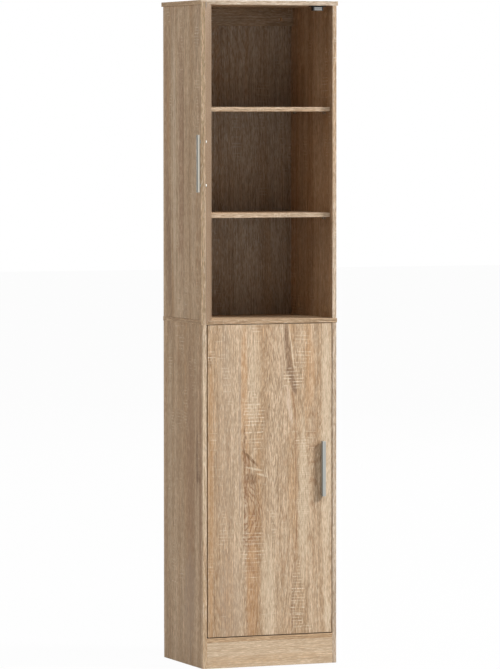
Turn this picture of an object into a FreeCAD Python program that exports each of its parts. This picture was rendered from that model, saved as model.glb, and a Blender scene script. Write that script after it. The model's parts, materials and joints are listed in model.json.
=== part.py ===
"""Tall bathroom cabinet of melamine board: a lower carcass with a closed door,
a mid panel that runs through, and an upper carcass with two shelves whose door
stands open.  Millimetres, +Z up, +X to the right, +Y to the rear.  The origin
is on the floor, at the middle of the plinth board's underside."""
import FreeCAD, Part
import math
import os

V = FreeCAD.Vector
X_AXIS = V(1, 0, 0)
Y_AXIS = V(0, 1, 0)
Z_AXIS = V(0, 0, 1)

# ---- carcass boards ----
height = 1800.0              # floor to the top face of the top panel
body_width = 391.0           # over the two side panels
side_depth = 293.0           # front edge to rear edge of a side panel
side_thickness = 12.0
top_thickness = 12.0
mid_thickness = 12.0
bottom_thickness = 12.0
top_overhang = 4.5           # top panel past each side panel
mid_overhang = 1.5           # mid panel past each side panel
mid_front_overhang = 1.0     # mid panel past the front edges
plinth_height = 70.0
plinth_thickness = 12.0
lower_opening = 847.0        # bottom panel to mid panel
back_thickness = 3.0
back_edge_margin = 1.0       # back panels stay inside the outline by this much
back_lap = 2.0               # lower back panel below the bottom panel
back_joint_gap = 1.0         # between the two back panels

# ---- rear rail with the wall fixing holes ----
rail_height = 50.0
rail_thickness = 12.0
wall_hole_spacing = 294.0
wall_hole_radius = 2.75
wall_hole_drop = 31.0        # hole centre below the top panel
wall_countersink_radius = 5.0
wall_countersink_depth = 2.5

# ---- shelves and their pins ----
shelf_thickness = 12.0
upper_shelves = 2
lower_shelves = 2
shelf_door_play = 0.8        # shelf front edge behind the sweep of the door's corner
shelf_side_play = 0.5
shelf_back_play = 1.0
shelf_pin_radius = 2.5
shelf_pin_depth = 8.0
shelf_rest_radius = 3.5
shelf_rest_length = 7.0
shelf_pin_margin = 35.0      # pin axis from the shelf's front and rear edges

# ---- doors ----
door_thickness = 12.0
hinge_gap = 2.5
free_gap = 2.0
door_top_gap = 1.5
door_bottom_gap = 2.5
upper_door_open = 114.0      # degrees from closed, as it stands at rest

# ---- pivots: a pin on a recessed plate, running in a flanged bush ----
pivot_from_edge = 6.0        # pin axis from the door's hinge edge
pivot_from_face = 5.0        # pin axis from the door's outer face
pin_radius = 2.0
pin_play = 0.05              # radial running clearance in the bush
pin_end_play = 1.0           # pin tip short of the bush's end
bush_radius = 3.25
bush_web = 1.0               # wood left between the two bushes in the mid panel
bush_flange_radius = 4.5
bottom_bush_play = 0.2       # between the lower flange and the plate it carries
top_bush_play = 0.5          # between the upper flange and its plate
pivot_plate_length = 30.0
pivot_plate_width = 9.0
pivot_plate_thickness = 1.5
pivot_plate_inset = 1.5      # plate end from the door's hinge edge
pivot_screw_offsets = (9.0, 20.0)   # screws from the pin axis

# ---- bar handles ----
handle_length = 150.0
handle_width = 12.5
handle_depth = 9.0           # thickness of the bar
handle_bevel_across = 1.5
handle_bevel_deep = 3.5
handle_foot_height = 3.5     # bar stands off the door on two round feet
handle_foot_radius = 4.5
handle_screw_spacing = 114.0
handle_from_free_edge = 27.0
lower_handle_rise = 26.0     # lower handle above the middle of its door
handle_screw_radius = 2.0
handle_screw_bite = 5.0      # thread inside the bar
handle_screw_play = 0.25     # radial, in the door's hole
handle_screw_head_radius = 4.0
handle_screw_head_top = 3.0  # radius at the top of the tapered head
handle_screw_head_height = 2.4

# ---- magnetic catches and strike plates ----
catch_from_free_edge = 34.0
catch_block_width = 30.0
catch_height = 13.5
catch_floor = 1.2            # plastic under the lower pole
catch_depth = 13.0
catch_flange_width = 46.0
catch_flange_thickness = 2.5
catch_screw_spacing = 38.0
pole_width = 22.0
pole_thickness = 1.2
pole_proud = 1.0             # poles in front of the catch body
magnet_thickness = 5.0
magnet_depth = 11.0
catch_gap = 0.3              # pole faces to the closed door's strike plate
strike_width = 24.0
strike_height = 14.0
strike_thickness = 1.5
strike_screw_spacing = 8.6

# ---- small screws, all countersunk ----
screw_radius = 1.5
screw_head_radius = 2.7
screw_head_height = 1.2
strike_screw_length = 9.0
pivot_screw_length = 16.0
catch_screw_length = 11.0

# ---- cam fittings, dowels and nails ----
cam_radius = 7.5
cam_skin = 2.0               # wood left behind a cam
cam_setback = 24.0           # cam centre from the end of its board
cam_socket_width = 1.4
cam_socket_length = 8.0
cam_socket_depth = 1.5
bolt_thread_radius = 2.5
bolt_skin = 3.0              # wood left in front of a bolt's thread
bolt_shaft_radius = 2.8
bolt_head_radius = 3.4
bolt_head_length = 4.0
bolt_head_play = 0.1
bolt_bore_radius = 4.0       # bore in the board's end
cam_cap_radius = 8.5
cam_cap_thickness = 0.8
cam_edge_distance = 50.0     # bolt axis from the front and rear edges
dowel_radius = 3.0
dowel_skin = 5.0             # wood left over a dowel in a board's face
dowel_end_depth = 18.0       # part of a dowel in a board's end
dowel_edge_distance = 25.0
plinth_dowel_margin = 18.0   # from the plinth's upper and lower edges
rail_dowel_margin = 13.0
nail_radius = 0.7
nail_bite = 9.0              # nail in the board behind the panel
nail_head_radius = 2.0
nail_head_thickness = 0.6
nail_end_margin = 30.0
side_nails = 6               # per panel and side
cross_nails = 2              # per panel along the boards across

# ---- worked out from the above ----
half_width = body_width / 2
inner_x = half_width - side_thickness
side_mid_x = half_width - side_thickness / 2
front_y = -plinth_thickness / 2
rear_y = front_y + side_depth
floor_z = plinth_height + bottom_thickness
mid_z = floor_z + lower_opening
upper_z = mid_z + mid_thickness
top_z = height - top_thickness
door_hinge_x = -inner_x + hinge_gap
door_free_x = inner_x - free_gap
pivot_x = door_hinge_x + pivot_from_edge
pivot_y = front_y + pivot_from_face
bush_depth = (mid_thickness - bush_web) / 2
pin_engagement = bush_depth - pin_end_play
corner_sweep = math.hypot(pivot_from_edge, door_thickness - pivot_from_face)
shelf_front_y = pivot_y + corner_sweep + shelf_door_play
magnet_pack = magnet_thickness / 2 + pole_thickness
magnet_drop = catch_height - catch_floor - magnet_pack
shelf_rear_y = rear_y - shelf_back_play


def box(x0, x1, y0, y1, z0, z1):
    return Part.makeBox(x1 - x0, y1 - y0, z1 - z0, V(x0, y0, z0))


def rod(start, along, radius, length):
    return Part.makeCylinder(radius, length, start, along)


def countersunk_screw(point, along, length):
    """Screw whose flat head is level with the surface at point."""
    head = Part.makeCone(screw_head_radius, screw_radius, screw_head_height, point, along)
    return head.fuse(rod(point, along, screw_radius, length)).removeSplitter()


def spread(low, high, count):
    """Evenly spaced values from low to high, both included."""
    step = (high - low) / (count - 1)
    return [low + step * i for i in range(count)]


# Every board is in boards, and every hole to cut in it is in holes.  Loose
# pieces and groups of equal fasteners are in fittings, each a list of solids.
boards = {}
holes = {}
fittings = {}


def add_board(name, solid):
    boards[name] = solid
    holes[name] = []


def add_fitting(name, solid):
    fittings.setdefault(name, []).append(solid)


# ---- boards of the carcass ----
def make_carcass():
    add_board("top_panel", box(-half_width - top_overhang, half_width + top_overhang,
                               front_y, rear_y + back_thickness, top_z, height))
    add_board("mid_panel", box(-half_width - mid_overhang, half_width + mid_overhang,
                               front_y - mid_front_overhang, rear_y, mid_z, upper_z))
    add_board("bottom_panel", box(-inner_x, inner_x, front_y, rear_y, plinth_height, floor_z))
    add_board("plinth_board", box(-inner_x, inner_x, front_y, front_y + plinth_thickness,
                                  0, plinth_height))
    for name, z0, z1 in (("lower_side", 0, mid_z), ("upper_side", upper_z, top_z)):
        add_board(name + "_left", box(-half_width, -inner_x, front_y, rear_y, z0, z1))
        add_board(name + "_right", box(inner_x, half_width, front_y, rear_y, z0, z1))
    add_board("back_rail", box(-inner_x, inner_x, rear_y - rail_thickness, rear_y,
                               top_z - rail_height, top_z))
    panel_x = half_width - back_edge_margin
    joint_z = mid_z + mid_thickness / 2
    add_board("back_panel_upper", box(-panel_x, panel_x, rear_y, rear_y + back_thickness,
                                      joint_z + back_joint_gap / 2, top_z))
    add_board("back_panel_lower", box(-panel_x, panel_x, rear_y, rear_y + back_thickness,
                                      plinth_height - back_lap, joint_z - back_joint_gap / 2))


def make_wall_holes():
    """Two holes through the rail and the back panel, countersunk inside."""
    z = top_z - wall_hole_drop
    for x in (-wall_hole_spacing / 2, wall_hole_spacing / 2):
        start = V(x, rear_y - rail_thickness, z)
        bore = rod(start, Y_AXIS, wall_hole_radius, rail_thickness + back_thickness)
        sink = Part.makeCone(wall_countersink_radius, wall_hole_radius,
                             wall_countersink_depth, start, Y_AXIS)
        holes["back_rail"] += [bore, sink]
        holes["back_panel_upper"].append(bore)


# ---- shelves on their pins ----
def make_shelves(stage, count, z0, z1):
    space = (z1 - z0 - count * shelf_thickness) / (count + 1)
    shelf_x = inner_x - shelf_side_play
    for i in range(count):
        z = z0 + space * (i + 1) + shelf_thickness * i
        name = "%s_shelf_%d" % (stage, i + 1)
        add_board(name, box(-shelf_x, shelf_x, shelf_front_y, shelf_rear_y,
                            z, z + shelf_thickness))
        for side, sign in (("left", -1), ("right", 1)):
            for y in (shelf_front_y + shelf_pin_margin, shelf_rear_y - shelf_pin_margin):
                face = V(sign * inner_x, y, z - shelf_rest_radius)
                shank = rod(face, X_AXIS * sign, shelf_pin_radius, shelf_pin_depth)
                rest = rod(face, X_AXIS * -sign, shelf_rest_radius, shelf_rest_length)
                holes["%s_side_%s" % (stage, side)].append(shank)
                add_fitting("shelf_pins_" + stage, shank.fuse(rest))


# ---- joints between boards ----
def cam_lock(board, end, along, face, thickness):
    """Cam in a board, its centre cam_setback from the end point.  along runs
    into the board, face points from the board's middle to the cam's side."""
    centre = end + along * cam_setback
    mouth = centre + face * (thickness / 2)
    body = rod(mouth, face * -1, cam_radius, thickness - cam_skin)
    holes[board] += [body, rod(end, along, bolt_bore_radius, cam_setback)]
    reach = cam_radius + bolt_head_length / 2 + bolt_head_play
    throat = rod(centre - along * cam_radius, along, bolt_head_radius + bolt_head_play, reach)
    across = along.cross(face)
    socket = Part.makeBox(cam_socket_length, cam_socket_width, cam_socket_depth,
                          V(-cam_socket_length / 2, -cam_socket_width / 2, -cam_socket_depth))
    cross = socket.fuse(socket.rotated(V(0, 0, 0), Z_AXIS, 90))
    turn = FreeCAD.Rotation(along, across, face, "ZXY")
    cross.Placement = FreeCAD.Placement(mouth, turn)
    add_fitting("cam_locks", body.cut(throat).cut(cross))
    return centre


def bolt_head(centre, along):
    start = centre - along * (bolt_head_length / 2)
    return rod(start, along, bolt_head_radius, bolt_head_length)


def cam_bolt(face_board, face_thickness, end, along, centre):
    """Bolt screwed into the face of one board, with its head in the cam."""
    thread = rod(end, along * -1, bolt_thread_radius, face_thickness - bolt_skin)
    holes[face_board].append(thread)
    shaft = rod(end, along, bolt_shaft_radius, cam_setback)
    add_fitting("cam_bolts", thread.fuse(shaft).fuse(bolt_head(centre, along)))


def cam_cap(mouth, face):
    add_fitting("cam_caps", rod(mouth, face, cam_cap_radius, cam_cap_thickness))


def dowel(face_board, face_thickness, end_board, end, along):
    face_depth = face_thickness - dowel_skin
    pin = rod(end - along * face_depth, along, dowel_radius, face_depth + dowel_end_depth)
    holes[face_board].append(pin)
    holes[end_board].append(pin)
    add_fitting("dowels", pin)


def make_carcass_joints():
    cam_rows = (front_y + cam_edge_distance, rear_y - cam_edge_distance)
    dowel_rows = (front_y + dowel_edge_distance, rear_y - dowel_edge_distance)
    for side, sign in (("left", -1), ("right", 1)):
        inward = X_AXIS * -sign
        upper, lower = "upper_side_" + side, "lower_side_" + side
        cap_x = sign * inner_x
        for y in cam_rows:
            # top panel on the upper side
            end = V(sign * side_mid_x, y, top_z)
            centre = cam_lock(upper, end, Z_AXIS * -1, inward, side_thickness)
            cam_bolt("top_panel", top_thickness, end, Z_AXIS * -1, centre)
            cam_cap(V(cap_x, y, centre.z), inward)
            # one long bolt through the mid panel, with a cam above and below
            above = cam_lock(upper, V(sign * side_mid_x, y, upper_z), Z_AXIS,
                             inward, side_thickness)
            below = cam_lock(lower, V(sign * side_mid_x, y, mid_z), Z_AXIS * -1,
                             inward, side_thickness)
            shaft = rod(below, Z_AXIS, bolt_shaft_radius, above.z - below.z)
            holes["mid_panel"].append(shaft)
            add_fitting("double_cam_bolts",
                        shaft.fuse(bolt_head(above, Z_AXIS)).fuse(bolt_head(below, Z_AXIS)))
            cam_cap(V(cap_x, y, above.z), inward)
            cam_cap(V(cap_x, y, below.z), inward)
            # bottom panel between the lower sides, cams from underneath
            end = V(cap_x, y, plinth_height + bottom_thickness / 2)
            centre = cam_lock("bottom_panel", end, inward, Z_AXIS * -1, bottom_thickness)
            cam_bolt(lower, side_thickness, end, inward, centre)
        for y in dowel_rows:
            dowel("top_panel", top_thickness, upper,
                  V(sign * side_mid_x, y, top_z), Z_AXIS * -1)
            dowel(lower, side_thickness, "bottom_panel",
                  V(cap_x, y, plinth_height + bottom_thickness / 2), inward)
            long_dowel = rod(V(sign * side_mid_x, y, mid_z - dowel_end_depth), Z_AXIS,
                             dowel_radius, mid_thickness + 2 * dowel_end_depth)
            for board in ("mid_panel", upper, lower):
                holes[board].append(long_dowel)
            add_fitting("long_dowels", long_dowel)
        for z in (plinth_dowel_margin, plinth_height - plinth_dowel_margin):
            dowel(lower, side_thickness, "plinth_board",
                  V(cap_x, front_y + plinth_thickness / 2, z), inward)
        for z in (top_z - rail_dowel_margin, top_z - rail_height + rail_dowel_margin):
            dowel(upper, side_thickness, "back_rail",
                  V(cap_x, rear_y - rail_thickness / 2, z), inward)


def nail(panel, board, x, z):
    start = V(x, rear_y + back_thickness, z)
    shank = rod(start, Y_AXIS * -1, nail_radius, back_thickness + nail_bite)
    head = rod(start, Y_AXIS, nail_head_radius, nail_head_thickness)
    holes[panel].append(shank)
    holes[board].append(shank)
    add_fitting("back_nails", shank.fuse(head))


def make_back_nails():
    for stage, z0, z1 in (("lower", floor_z, mid_z), ("upper", upper_z, top_z)):
        panel = "back_panel_" + stage
        for side, sign in (("left", -1), ("right", 1)):
            for z in spread(z0 + nail_end_margin, z1 - nail_end_margin, side_nails):
                nail(panel, "%s_side_%s" % (stage, side), sign * side_mid_x, z)
    across = spread(-inner_x / 2, inner_x / 2, cross_nails)
    for x in across:
        nail("back_panel_lower", "bottom_panel", x, plinth_height + bottom_thickness / 2)
        nail("back_panel_upper", "back_rail", x, top_z - rail_height / 2)


# ---- doors, each built closed and then turned to its rest angle ----
def bar_handle(z):
    """Bevelled bar on two round feet, centred at height z, on the door's face."""
    side = handle_width / 2
    bar_y = front_y - handle_foot_height
    bevel_y = bar_y - handle_depth + handle_bevel_deep
    outer_y = bar_y - handle_depth
    section = [(-side, bar_y), (side, bar_y), (side, bevel_y),
               (side - handle_bevel_across, outer_y), (handle_bevel_across - side, outer_y),
               (-side, bevel_y), (-side, bar_y)]
    x = door_free_x - handle_from_free_edge
    foot_z = z - handle_length / 2
    wire = Part.makePolygon([V(x + dx, y, foot_z) for dx, y in section])
    bar = Part.Face(wire).extrude(Z_AXIS * handle_length)
    for dz in (-handle_screw_spacing / 2, handle_screw_spacing / 2):
        bar = bar.fuse(rod(V(x, front_y, z + dz), Y_AXIS * -1, handle_foot_radius,
                           handle_foot_height))
    return x, bar.removeSplitter()


def make_door(stage, z0, z1, handle_rise, open_angle):
    """Door with its pivots, handle and strike plate between heights z0 and z1."""
    low, high = z0 + door_bottom_gap, z1 - door_top_gap
    inner_y = front_y + door_thickness
    door = box(door_hinge_x, door_free_x, front_y, inner_y, low, high)
    made = {}

    # pivot plates let into the two ends of the door, with their pins and screws
    plate_x = door_hinge_x + pivot_plate_inset
    plate_y = front_y + (door_thickness - pivot_plate_width) / 2
    pins, screws = [], []
    for edge_z, up, gap in ((high, 1, door_top_gap), (low, -1, door_bottom_gap)):
        plate_z = min(edge_z, edge_z - up * pivot_plate_thickness)
        plate = Part.makeBox(pivot_plate_length, pivot_plate_width, pivot_plate_thickness,
                             V(plate_x, plate_y, plate_z))
        door = door.cut(plate)
        for offset in pivot_screw_offsets:
            point = V(pivot_x + offset, front_y + door_thickness / 2, edge_z)
            screw = countersunk_screw(point, Z_AXIS * -up, pivot_screw_length)
            plate = plate.cut(screw)
            door = door.cut(screw)
            screws.append(screw)
        pin = rod(V(pivot_x, pivot_y, edge_z), Z_AXIS * up, pin_radius, gap + pin_engagement)
        pins.append(plate.fuse(pin).removeSplitter())
    made[stage + "_pivot_plates"] = pins
    made[stage + "_pivot_screws"] = screws

    # handle and its two screws from the inner face
    handle_z = (low + high) / 2 + handle_rise
    x, bar = bar_handle(handle_z)
    screws = []
    for dz in (-handle_screw_spacing / 2, handle_screw_spacing / 2):
        face = V(x, inner_y, handle_z + dz)
        reach = door_thickness + handle_foot_height + handle_screw_bite
        shank = rod(face, Y_AXIS * -1, handle_screw_radius, reach)
        head = Part.makeCone(handle_screw_head_radius, handle_screw_head_top,
                             handle_screw_head_height, face, Y_AXIS)
        bar = bar.cut(shank)
        door = door.cut(rod(face, Y_AXIS * -1, handle_screw_radius + handle_screw_play,
                            door_thickness))
        screws.append(head.fuse(shank))
    made[stage + "_handle"] = [bar]
    made[stage + "_handle_screws"] = screws

    # strike plate on the inner face, level with the catch's magnet
    x = door_free_x - catch_from_free_edge
    z = z1 - magnet_drop
    plate = box(x - strike_width / 2, x + strike_width / 2, inner_y, inner_y + strike_thickness,
                z - strike_height / 2, z + strike_height / 2)
    screws = []
    for dz in (-strike_screw_spacing / 2, strike_screw_spacing / 2):
        screw = countersunk_screw(V(x, inner_y + strike_thickness, z + dz), Y_AXIS * -1,
                                  strike_screw_length)
        plate = plate.cut(screw)
        door = door.cut(screw)
        screws.append(screw)
    made[stage + "_strike_plate"] = [plate]
    made[stage + "_strike_screws"] = screws
    made[stage + "_door"] = [door]
    for name, solids in made.items():
        for solid in solids:
            solid.rotate(V(pivot_x, pivot_y, 0), Z_AXIS, -open_angle)
            add_fitting(name, solid)


def make_bushes(z0, z1, lower_board, upper_board):
    """Flanged bushes for one door, in the board below it and the one above."""
    for z, up, board, flange in ((z1, 1, upper_board, door_top_gap - top_bush_play),
                                 (z0, -1, lower_board, door_bottom_gap - bottom_bush_play)):
        face = V(pivot_x, pivot_y, z)
        body = rod(face, Z_AXIS * up, bush_radius, bush_depth)
        holes[board].append(body)
        collar = rod(face, Z_AXIS * -up, bush_flange_radius, flange)
        bore = rod(face - Z_AXIS * (up * flange), Z_AXIS * up, pin_radius + pin_play,
                   flange + bush_depth)
        add_fitting("pivot_bushes", body.fuse(collar).removeSplitter().cut(bore))


def make_catch(stage, ceiling_board, ceiling_z):
    """Magnetic catch screwed up into the panel over the door's free side."""
    x = door_free_x - catch_from_free_edge
    pole_y = front_y + door_thickness + strike_thickness + catch_gap
    body_y = pole_y + pole_proud
    block = box(x - catch_block_width / 2, x + catch_block_width / 2,
                body_y, body_y + catch_depth, ceiling_z - catch_height, ceiling_z)
    flange = box(x - catch_flange_width / 2, x + catch_flange_width / 2,
                 body_y, body_y + catch_depth, ceiling_z - catch_flange_thickness, ceiling_z)
    body = block.fuse(flange).removeSplitter()
    magnet_z = ceiling_z - magnet_drop
    half_magnet = magnet_thickness / 2
    x0, x1 = x - pole_width / 2, x + pole_width / 2
    body = body.cut(box(x0, x1, body_y, body_y + magnet_depth,
                        magnet_z - magnet_pack, magnet_z + magnet_pack))
    add_fitting(stage + "_catch_magnet", box(x0, x1, body_y, body_y + magnet_depth,
                                             magnet_z - half_magnet, magnet_z + half_magnet))
    for z in (magnet_z - magnet_pack, magnet_z + half_magnet):
        add_fitting(stage + "_catch_poles",
                    box(x0, x1, pole_y, body_y + magnet_depth, z, z + pole_thickness))
    for dx in (-catch_screw_spacing / 2, catch_screw_spacing / 2):
        point = V(x + dx, body_y + catch_depth / 2, ceiling_z - catch_flange_thickness)
        screw = countersunk_screw(point, Z_AXIS, catch_screw_length)
        body = body.cut(screw)
        holes[ceiling_board].append(screw)
        add_fitting("catch_screws", screw)
    add_fitting(stage + "_catch_body", body)


make_carcass()
make_wall_holes()
make_shelves("upper", upper_shelves, upper_z, top_z)
make_shelves("lower", lower_shelves, floor_z, mid_z)
make_carcass_joints()
make_back_nails()
make_door("upper", upper_z, top_z, 0.0, upper_door_open)
make_door("lower", floor_z, mid_z, lower_handle_rise, 0.0)
make_bushes(upper_z, top_z, "mid_panel", "top_panel")
make_bushes(floor_z, mid_z, "bottom_panel", "mid_panel")
make_catch("upper", "top_panel", top_z)
make_catch("lower", "mid_panel", mid_z)

for name, solid in boards.items():
    add_fitting(name, solid.cut(holes[name]) if holes[name] else solid)

os.makedirs("parts", exist_ok=True)
for name, solids in fittings.items():
    shape = solids[0] if len(solids) == 1 else Part.makeCompound(solids)
    shape.exportStep("parts/%s.step" % name)
    print("%-20s %3d solids  %10.0f mm3  valid %s"
          % (name, len(shape.Solids), shape.Volume, shape.isValid()))
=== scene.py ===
import json
import math

import bmesh
import bpy
from mathutils import Matrix, Vector


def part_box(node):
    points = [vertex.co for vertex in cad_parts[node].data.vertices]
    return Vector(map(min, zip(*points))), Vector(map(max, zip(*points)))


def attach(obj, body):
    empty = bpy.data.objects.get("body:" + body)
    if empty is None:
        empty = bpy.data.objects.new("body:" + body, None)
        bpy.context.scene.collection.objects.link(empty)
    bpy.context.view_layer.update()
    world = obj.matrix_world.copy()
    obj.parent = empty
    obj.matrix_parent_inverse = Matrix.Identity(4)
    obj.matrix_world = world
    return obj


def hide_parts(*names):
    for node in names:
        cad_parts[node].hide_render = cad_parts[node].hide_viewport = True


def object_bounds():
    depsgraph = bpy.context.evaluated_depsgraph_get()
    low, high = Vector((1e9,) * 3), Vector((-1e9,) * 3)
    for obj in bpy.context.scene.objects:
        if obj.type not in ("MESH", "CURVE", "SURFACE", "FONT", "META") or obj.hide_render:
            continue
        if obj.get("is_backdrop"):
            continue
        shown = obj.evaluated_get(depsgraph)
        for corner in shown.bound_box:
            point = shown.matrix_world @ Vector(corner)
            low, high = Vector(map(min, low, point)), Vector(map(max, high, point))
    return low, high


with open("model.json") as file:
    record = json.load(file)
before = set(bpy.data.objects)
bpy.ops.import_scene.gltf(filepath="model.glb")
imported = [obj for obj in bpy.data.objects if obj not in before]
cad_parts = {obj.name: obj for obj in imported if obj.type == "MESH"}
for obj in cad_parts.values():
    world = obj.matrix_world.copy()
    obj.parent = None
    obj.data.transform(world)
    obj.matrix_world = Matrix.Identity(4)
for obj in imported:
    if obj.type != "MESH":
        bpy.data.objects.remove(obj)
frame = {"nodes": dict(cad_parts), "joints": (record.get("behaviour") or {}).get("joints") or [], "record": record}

cad_low, cad_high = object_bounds()


# ---- Side panels ----
# Four upright particle boards, the lower two standing on the floor and the upper
# two on the mid panel.  Their faces are printed with rough-sawn oak, grain
# upright, the front edge has a glued band, and the other edges are raw.
def colour(red, green, blue):
    """A colour as a screen shows it, 0 to 255, in the values that a shader takes."""
    def linear(value):
        value /= 255
        return value / 12.92 if value < 0.04045 else ((value + 0.055) / 1.055) ** 2.4
    return linear(red), linear(green), linear(blue), 1.0


def feed(tree, node, sockets):
    """Gives a node's inputs values, or links them to other nodes or their outputs."""
    for name, value in sockets.items():
        if isinstance(value, bpy.types.Node):
            value = value.outputs[0]
        if isinstance(value, bpy.types.NodeSocket):
            tree.links.new(value, node.inputs[name])
        else:
            node.inputs[name].default_value = value


def put(tree, kind, sockets=None, **settings):
    """Adds a node, sets it up and feeds its inputs."""
    node = tree.nodes.new("ShaderNode" + kind)
    for name, value in settings.items():
        setattr(node, name, value)
    feed(tree, node, sockets or {})
    return node


def maths(tree, operation, first, second=0.0):
    return put(tree, "Math", {0: first, 1: second}, operation=operation)


def product(tree, values):
    """All the values multiplied together."""
    result = values[0]
    for value in values[1:]:
        result = maths(tree, "MULTIPLY", result, value)
    return result


def share(tree, value, low, high, to_low=0.0, to_high=1.0):
    """Turns value into a smooth step: to_low at low, to_high at high."""
    return put(tree, "MapRange", {"Value": value, "From Min": low, "From Max": high,
                                  "To Min": to_low, "To Max": to_high},
               interpolation_type="SMOOTHSTEP")


def mottle(tree, place, density, detail=1.0):
    """Noise with its own density along each axis, in lumps per metre."""
    spread = put(tree, "VectorMath", {0: place, 1: density}, operation="MULTIPLY")
    return put(tree, "TexNoise", {"Vector": spread, "Scale": 1.0, "Detail": detail,
                                  "Roughness": 0.55})


def tinted(tree, amount, under, over, way="MIX"):
    """Lays the colour over on the colour under, by amount."""
    node = put(tree, "Mix", {0: amount, 6: under, 7: over}, data_type="RGBA", blend_type=way)
    return node.outputs[2]


def new_group(name, inputs, outputs):
    """An empty node group; gives its tree, its input sockets and its output node."""
    tree = bpy.data.node_groups.new(name, "ShaderNodeTree")
    for label, kind in inputs:
        tree.interface.new_socket(label, in_out="INPUT", socket_type="NodeSocket" + kind)
    for label, kind in outputs:
        tree.interface.new_socket(label, in_out="OUTPUT", socket_type="NodeSocket" + kind)
    given = tree.nodes.new("NodeGroupInput")
    return tree, given.outputs, tree.nodes.new("NodeGroupOutput")


def new_finish(name):
    """An empty material; gives it, its tree and its shader."""
    material = bpy.data.materials.new(name)
    material.use_nodes = True
    return material, material.node_tree, material.node_tree.nodes["Principled BSDF"]


def dents(tree, height, strength, depth):
    """Small relief from a height, at most depth metres deep."""
    return put(tree, "Bump", {"Height": height, "Strength": strength, "Distance": depth})


def make_oak_print():
    """The printed oak, its grain along Z: broad bands, wavy year rings, short
    flecks and pores, and patches of pale saw marks across the grain."""
    sway, ring_lines, saw_step = 0.05, 38.0, 0.0088
    tree, given, result = new_group(
        "oak_print", [("Place", "Vector")],
        [("Colour", "Color"), ("Relief", "Float"), ("Ragged", "Vector"), ("Fleck", "Float")])
    place = given["Place"]
    lean = maths(tree, "MULTIPLY", maths(tree, "SUBTRACT", mottle(tree, place, (5, 5, 1.3)), 0.5),
                 sway)
    swayed = put(tree, "VectorMath", {0: place, 1: put(tree, "CombineXYZ", {0: lean, 1: lean})},
                 operation="ADD")

    # broad bands, warmer and greyer in places
    bands = share(tree, mottle(tree, swayed, (24, 24, 0.5), 2.0), 0.36, 0.64)
    tone = tinted(tree, bands, colour(180, 152, 122), colour(199, 175, 148))
    warm = share(tree, mottle(tree, swayed, (40, 40, 0.9)), 0.55, 0.72, 0.0, 0.40)
    tone = tinted(tree, warm, tone, colour(184, 146, 106))
    grey = share(tree, mottle(tree, swayed, (30, 30, 1.4)), 0.60, 0.74, 0.0, 0.40)
    tone = tinted(tree, grey, tone, colour(166, 145, 125))

    # year rings
    rings = mottle(tree, swayed, (9, 9, 1.1), 0.5)
    wave = maths(tree, "PINGPONG", maths(tree, "MULTIPLY", rings, ring_lines), 0.5)
    dark_ring = share(tree, wave, 0.18, 0.02)
    where = share(tree, mottle(tree, swayed, (12, 12, 1.7), 0.0), 0.48, 0.62, 0.08, 0.42)
    tone = tinted(tree, maths(tree, "MULTIPLY", dark_ring, where), tone,
                  colour(156, 117, 82))

    # long streaks, short flecks, pale ticks and dark pores
    streak = share(tree, mottle(tree, swayed, (620, 620, 6), 3.0), 0.36, 0.64)
    tone = tinted(tree, 1.0, tone,
                  tinted(tree, streak, (0.71, 0.67, 0.61, 1), (1.15, 1.14, 1.13, 1)), "MULTIPLY")
    fleck = share(tree, mottle(tree, swayed, (800, 800, 62), 2.0), 0.37, 0.63)
    tone = tinted(tree, 1.0, tone,
                  tinted(tree, fleck, (0.76, 0.73, 0.69, 1), (1.17, 1.18, 1.19, 1)), "MULTIPLY")
    ticks = share(tree, mottle(tree, swayed, (680, 680, 55), 1.0), 0.58, 0.68, 0.0, 0.45)
    tone = tinted(tree, ticks, tone, colour(226, 209, 184))
    pores = share(tree, mottle(tree, swayed, (800, 800, 70), 1.0), 0.59, 0.68, 0.0, 0.5)
    tone = tinted(tree, pores, tone, colour(138, 106, 76))

    # pale saw marks across the grain, in rows, some left out
    along = put(tree, "SeparateXYZ", {0: place}).outputs["Z"]
    drift = maths(tree, "MULTIPLY", mottle(tree, place, (6, 6, 3), 1.0), 2.0)
    rows = maths(tree, "ADD", maths(tree, "DIVIDE", along, saw_step), drift)
    cut = share(tree, maths(tree, "PINGPONG", rows, 0.5), 0.33, 0.46)
    some = share(tree, put(tree, "TexWhiteNoise", {"W": maths(tree, "FLOOR", rows)},
                           noise_dimensions="1D"), 0.35, 0.55)
    patch = share(tree, mottle(tree, place, (24, 24, 6), 1.0), 0.60, 0.70)
    marks = product(tree, [cut, some, patch, share(tree, fleck, 0.2, 0.7, 0.2, 0.6)])
    tone = tinted(tree, marks, tone, colour(222, 204, 178))

    # relief, and what the placed patches need to look ragged
    height = maths(tree, "SUBTRACT", maths(tree, "MULTIPLY", fleck, 0.5),
                   maths(tree, "MULTIPLY", pores, 1.2))
    height = maths(tree, "ADD", height, marks)
    ragged = put(tree, "VectorMath", {0: mottle(tree, place, (60, 60, 16), 3.0).outputs[1],
                                      1: (0.5, 0.5, 0.5)}, operation="SUBTRACT")
    feed(tree, result, {"Colour": tone, "Relief": height, "Ragged": ragged, "Fleck": fleck})
    return tree


def oval(tree, given, wobble):
    """How far a point is from the middle of a placed oval, 1 at its rim."""
    inside = put(tree, "Mapping", {"Vector": given["Place"], "Location": given["Middle"],
                                   "Rotation": given["Turn"], "Scale": given["Reach"]},
                 vector_type="TEXTURE")
    inside = put(tree, "VectorMath", {0: given["Ragged"], 1: (wobble, wobble, wobble), 2: inside},
                 operation="MULTIPLY_ADD")
    return put(tree, "VectorMath", {0: inside}, operation="LENGTH").outputs["Value"]


patch_inputs = [("Colour", "Color"), ("Place", "Vector"), ("Ragged", "Vector"),
                ("Fleck", "Float"), ("Middle", "Vector"), ("Turn", "Vector"),
                ("Reach", "Vector"), ("Amount", "Float")]


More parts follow.
